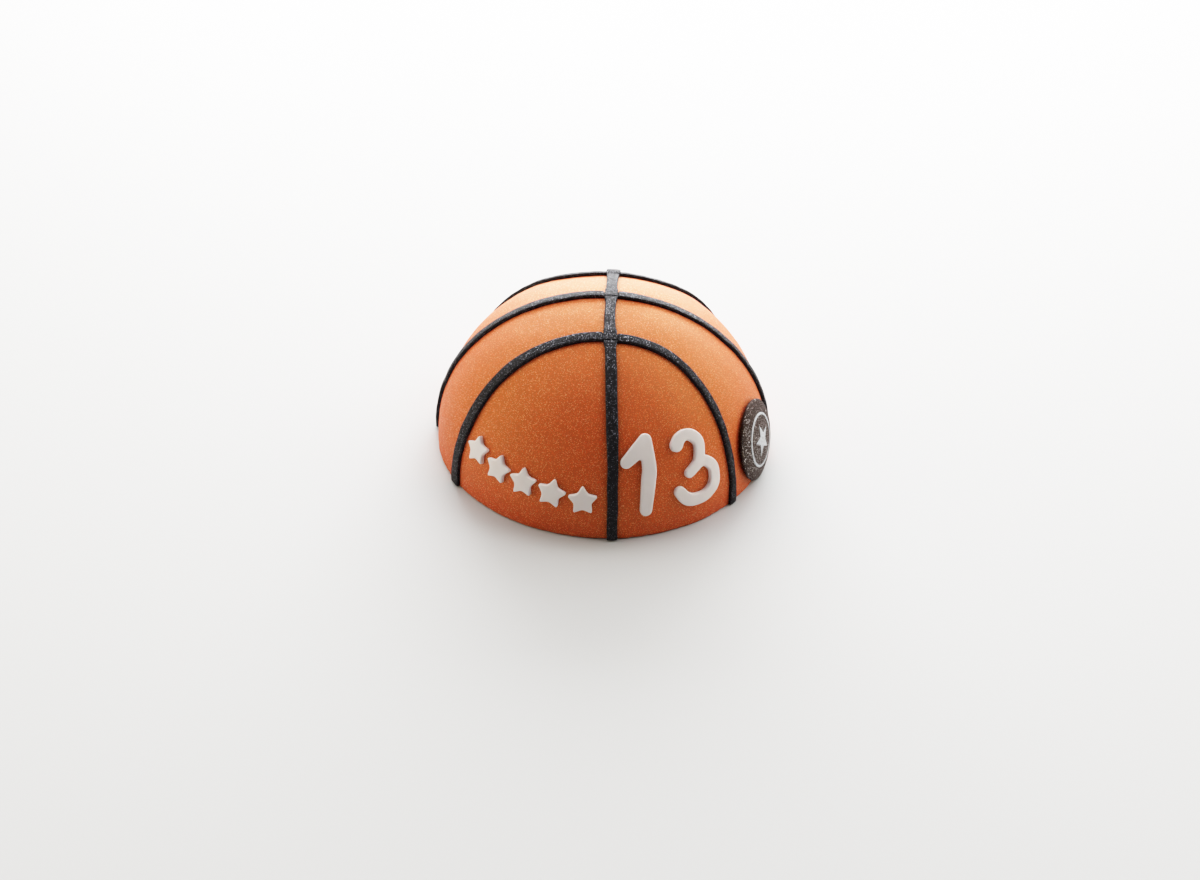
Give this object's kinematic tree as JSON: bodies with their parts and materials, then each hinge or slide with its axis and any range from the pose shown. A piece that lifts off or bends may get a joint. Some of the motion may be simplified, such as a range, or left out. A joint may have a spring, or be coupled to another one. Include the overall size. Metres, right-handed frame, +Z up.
{
  "type": "basketball ice cream cake",
  "caption": "Half-ball ice cream cake under orange sugar paste, with black ball stripes, white numerals and stars and a round chocolate medallion; stands on its flat base.",
  "frame": {"origin": "centre of the round flat base, on the surface the cake stands on", "axes": "+Z up through the top of the dome, -Y towards the front with the numerals, +X towards the side with the medallion"},
  "size_m": [0.2046, 0.2044, 0.0979],
  "materials": {
    "sugar_paste_orange": "satin",
    "sugar_paste_black": "satin",
    "sugar_paste_white": "satin",
    "chocolate_disc": "satin"
  },
  "bodies": {
    "root": {"cake_dome": "sugar_paste_orange", "stripe_cross": "sugar_paste_black", "stripe_front_rib": "sugar_paste_black", "stripe_rear_rib": "sugar_paste_black", "stripe_meridian": "sugar_paste_black", "digit_one": "sugar_paste_white", "digit_three": "sugar_paste_white", "star_1": "sugar_paste_white", "star_2": "sugar_paste_white", "star_3": "sugar_paste_white", "star_4": "sugar_paste_white", "star_5": "sugar_paste_white", "medallion": "chocolate_disc"}
  },
  "joints": []
}
